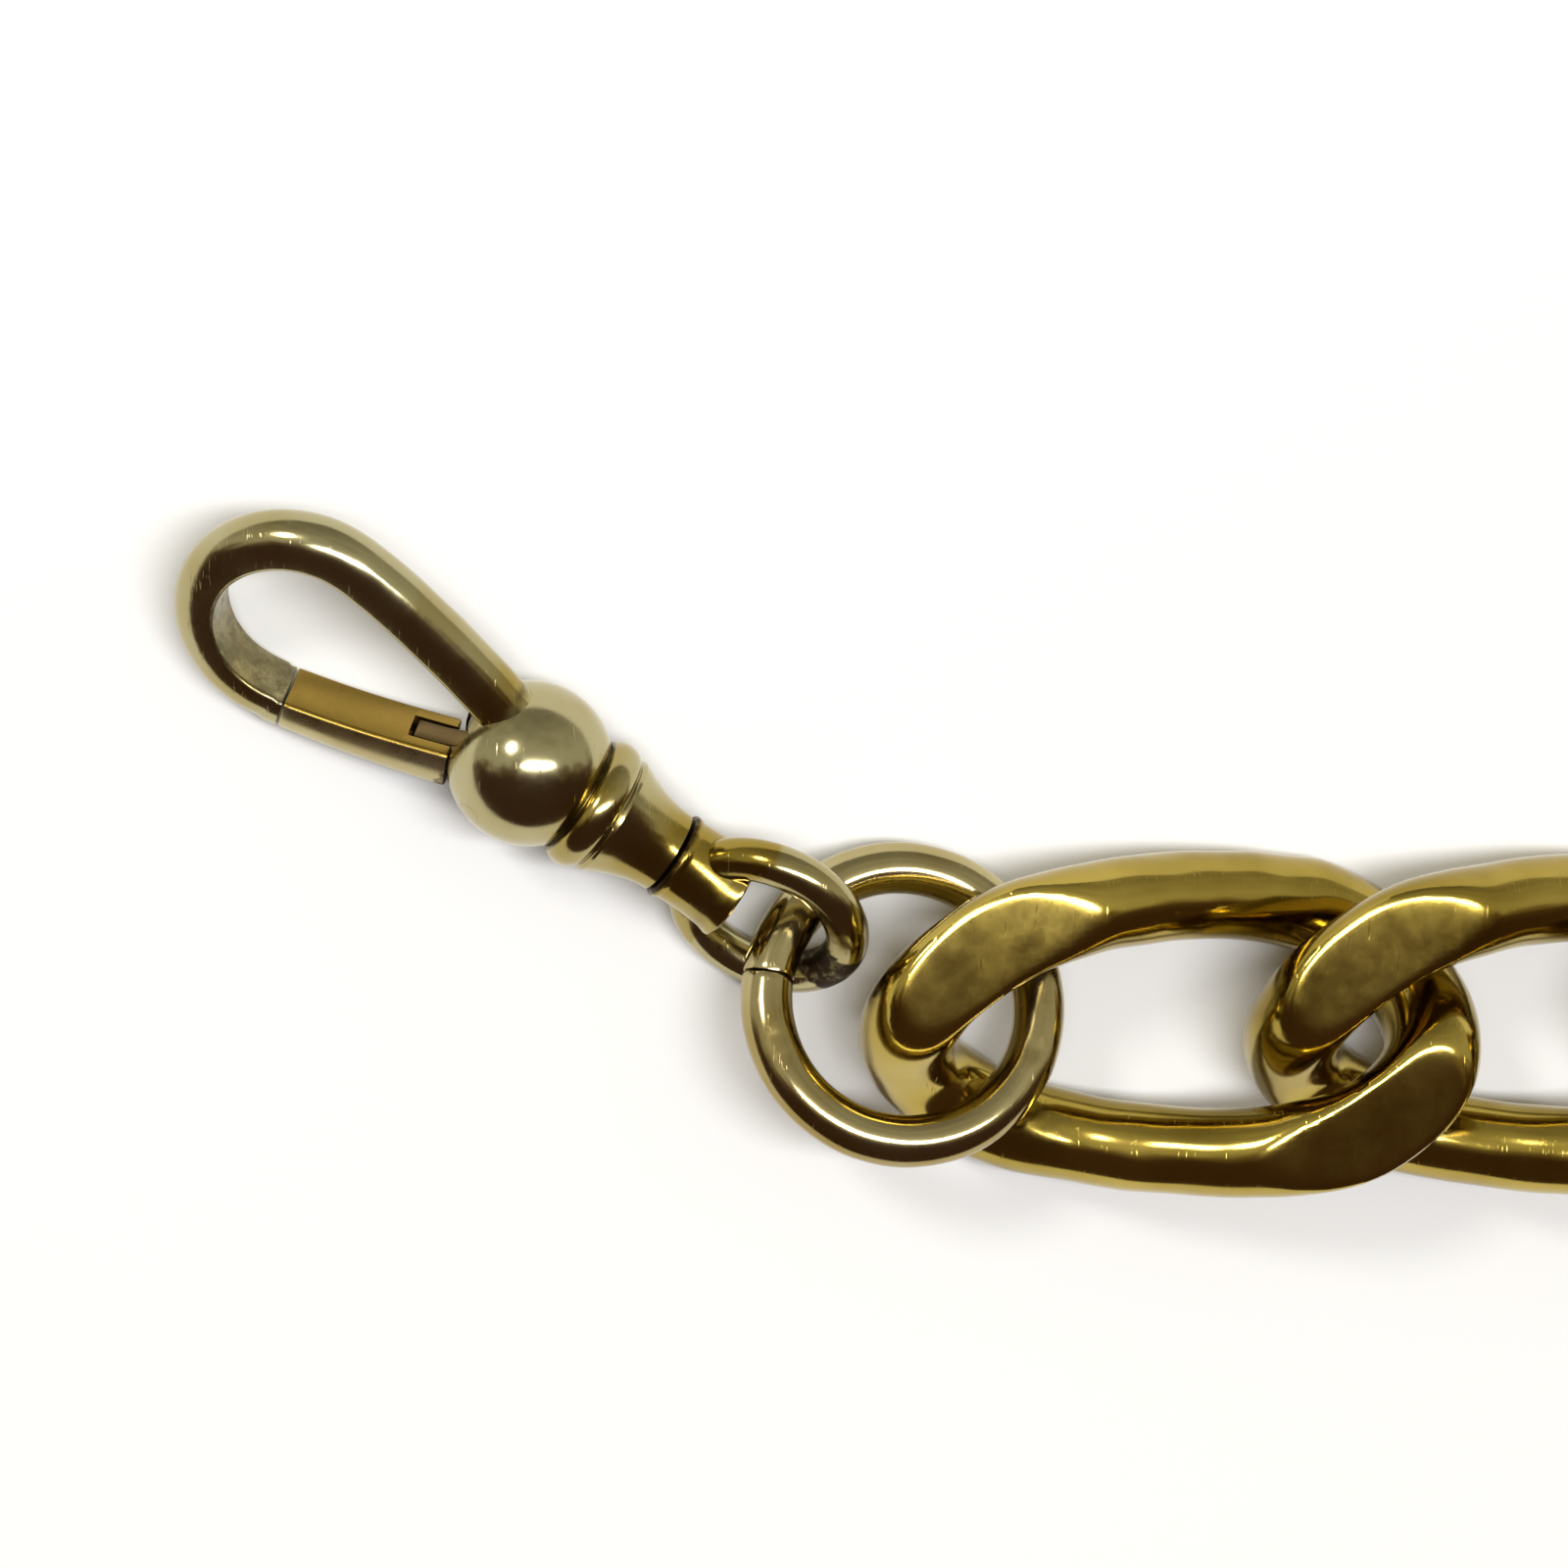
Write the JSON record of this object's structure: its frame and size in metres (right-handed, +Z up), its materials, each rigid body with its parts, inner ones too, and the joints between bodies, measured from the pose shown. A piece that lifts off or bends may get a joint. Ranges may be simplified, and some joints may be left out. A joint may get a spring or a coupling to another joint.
{
  "type": "pocket watch chain",
  "caption": "Curb-link pocket watch chain with a spring-gate swivel clasp at one end and a toggle bar for a buttonhole at the other.",
  "frame": {"origin": "on the surface the chain lies on, under the middle of its outline box", "axes": "+Z up; the first links run along +X away from the clasp; the chain bends towards -Y"},
  "size_m": [0.1436, 0.1902, 0.0064],
  "materials": {
    "link_gold": "polished heavy gold plate, deep yellow, with filed and burnished flats and fine scratches",
    "clasp_gold": "polished pale gold plate, worn towards the white metal under it",
    "ring_gold": "polished pale gold-plated wire, worn, with small file nicks",
    "gate_gold": "polished yellow gold plate, brighter on the protected inner flat",
    "rivet_gold": "dull gold rivet head with tarnish round it",
    "bar_gold": "polished pale gold plate, turned and worn",
    "spring_steel": "thin spring strip, darkened"
  },
  "bodies": {
    "link_01": {"link_01": "link_gold"},
    "link_02": {"link_02": "link_gold"},
    "link_03": {"link_03": "link_gold"},
    "link_04": {"link_04": "link_gold"},
    "link_05": {"link_05": "link_gold"},
    "link_06": {"link_06": "link_gold"},
    "link_07": {"link_07": "link_gold"},
    "link_08": {"link_08": "link_gold"},
    "link_09": {"link_09": "link_gold"},
    "link_10": {"link_10": "link_gold"},
    "link_11": {"link_11": "link_gold"},
    "link_12": {"link_12": "link_gold"},
    "link_13": {"link_13": "link_gold"},
    "link_14": {"link_14": "link_gold"},
    "link_15": {"link_15": "link_gold"},
    "link_16": {"link_16": "link_gold"},
    "link_17": {"link_17": "link_gold"},
    "link_18": {"link_18": "link_gold"},
    "link_19": {"link_19": "link_gold"},
    "jump_ring_clasp": {"jump_ring_clasp": "ring_gold"},
    "swivel_eye": {"swivel_eye": "clasp_gold"},
    "clasp": {"clasp_body": "clasp_gold", "swivel_rivet": "rivet_gold", "gate_pin": "clasp_gold"},
    "gate": {"gate": "gate_gold", "gate_spring": "spring_steel"},
    "jump_ring_bar": {"jump_ring_bar": "ring_gold"},
    "toggle": {"toggle_bar": "bar_gold", "toggle_eye": "bar_gold"}
  },
  "joints": [
    {"name": "link_09_sideways", "type": "hinge", "parent": "link_10", "child": "link_09", "pos_m": [0.05551, 0.03796, 0.00306], "axis": [0, 0, 1], "range_deg": [-30, 6]},
    {"name": "link_08_lift", "type": "hinge", "parent": "link_09", "child": "link_08", "pos_m": [0.04793, 0.04839, 0.00306], "axis": [0.7431, 0.6691, 0], "range_deg": [-12, 12]},
    {"name": "link_07_sideways", "type": "hinge", "parent": "link_08", "child": "link_07", "pos_m": [0.0393, 0.05798, 0.00306], "axis": [0, 0, 1], "range_deg": [-30, 6]},
    {"name": "link_06_lift", "type": "hinge", "parent": "link_07", "child": "link_06", "pos_m": [0.02886, 0.06556, 0.00306], "axis": [0.5, 0.866, 0], "range_deg": [-12, 12]},
    {"name": "link_05_sideways", "type": "hinge", "parent": "link_06", "child": "link_05", "pos_m": [0.01769, 0.07201, 0.00306], "axis": [0, 0, 1], "range_deg": [-30, 6]},
    {"name": "link_04_lift", "type": "hinge", "parent": "link_05", "child": "link_04", "pos_m": [0.00542, 0.076, 0.00306], "axis": [0.2079, 0.9781, 0], "range_deg": [-12, 12]},
    {"name": "link_03_sideways", "type": "hinge", "parent": "link_04", "child": "link_03", "pos_m": [-0.0072, 0.07868, 0.00306], "axis": [0, 0, 1], "range_deg": [-30, 6]},
    {"name": "link_02_lift", "type": "hinge", "parent": "link_03", "child": "link_02", "pos_m": [-0.0201, 0.07868, 0.00306], "axis": [0, 1, 0], "range_deg": [-16, 16]},
    {"name": "link_01_sideways", "type": "hinge", "parent": "link_02", "child": "link_01", "pos_m": [-0.033, 0.07868, 0.00306], "axis": [0, 0, 1], "range_deg": [-18, 18]},
    {"name": "link_11_lift", "type": "hinge", "parent": "link_10", "child": "link_11", "pos_m": [0.06076, 0.02617, 0.00306], "axis": [-0.9511, -0.309, 0], "range_deg": [-12, 12]},
    {"name": "link_12_sideways", "type": "hinge", "parent": "link_11", "child": "link_12", "pos_m": [0.06474, 0.0139, 0.00306], "axis": [0, 0, 1], "range_deg": [-6, 30]},
    {"name": "link_13_lift", "type": "hinge", "parent": "link_12", "child": "link_13", "pos_m": [0.06609, 0.00107, 0.00306], "axis": [-1, 0, 0], "range_deg": [-12, 12]},
    {"name": "link_14_sideways", "type": "hinge", "parent": "link_13", "child": "link_14", "pos_m": [0.06609, -0.01183, 0.00306], "axis": [0, 0, 1], "range_deg": [-6, 30]},
    {"name": "link_15_lift", "type": "hinge", "parent": "link_14", "child": "link_15", "pos_m": [0.06341, -0.02445, 0.00306], "axis": [-0.9511, 0.309, 0], "range_deg": [-12, 12]},
    {"name": "link_16_sideways", "type": "hinge", "parent": "link_15", "child": "link_16", "pos_m": [0.05942, -0.03671, 0.00306], "axis": [0, 0, 1], "range_deg": [-6, 30]},
    {"name": "link_17_lift", "type": "hinge", "parent": "link_16", "child": "link_17", "pos_m": [0.05297, -0.04789, 0.00306], "axis": [-0.809, 0.5878, 0], "range_deg": [-12, 12]},
    {"name": "link_18_sideways", "type": "hinge", "parent": "link_17", "child": "link_18", "pos_m": [0.04539, -0.05832, 0.00306], "axis": [0, 0, 1], "range_deg": [-6, 30]},
    {"name": "link_19_lift", "type": "hinge", "parent": "link_18", "child": "link_19", "pos_m": [0.03581, -0.06695, 0.00306], "axis": [-0.5878, 0.809, 0], "range_deg": [-12, 12]},
    {"name": "clasp_ring_sideways", "type": "hinge", "parent": "link_01", "child": "jump_ring_clasp", "pos_m": [-0.04545, 0.07898, 0.00306], "axis": [0, 0, 1], "range_deg": [-28, 28]},
    {"name": "eye_round_clasp_ring", "type": "hinge", "parent": "jump_ring_clasp", "child": "swivel_eye", "pos_m": [-0.04836, 0.07936, 0.0033], "axis": [0.0357, 0.3697, 0.9284], "range_deg": [-45, 55]},
    {"name": "swivel", "type": "hinge", "parent": "swivel_eye", "child": "clasp", "pos_m": [-0.05585, 0.08404, 0.00273], "axis": [0.848, -0.5299, 0], "continuous": true},
    {"name": "gate_open", "type": "hinge", "parent": "clasp", "child": "gate", "pos_m": [-0.062, 0.08666, 0.00194], "axis": [0.3189, 0.5104, -0.7986], "range_deg": [0, 22], "stiffness_Nm_per_rad": 0.004},
    {"name": "bar_ring_sideways", "type": "hinge", "parent": "link_19", "child": "jump_ring_bar", "pos_m": [0.02556, -0.07403, 0.00306], "axis": [0, 0, 1], "range_deg": [-28, 28]},
    {"name": "bar_round_ring", "type": "hinge", "parent": "jump_ring_bar", "child": "toggle", "pos_m": [0.02298, -0.07543, 0.0033], "axis": [-0.1885, 0.3201, 0.9284], "range_deg": [-25, 25]}
  ]
}
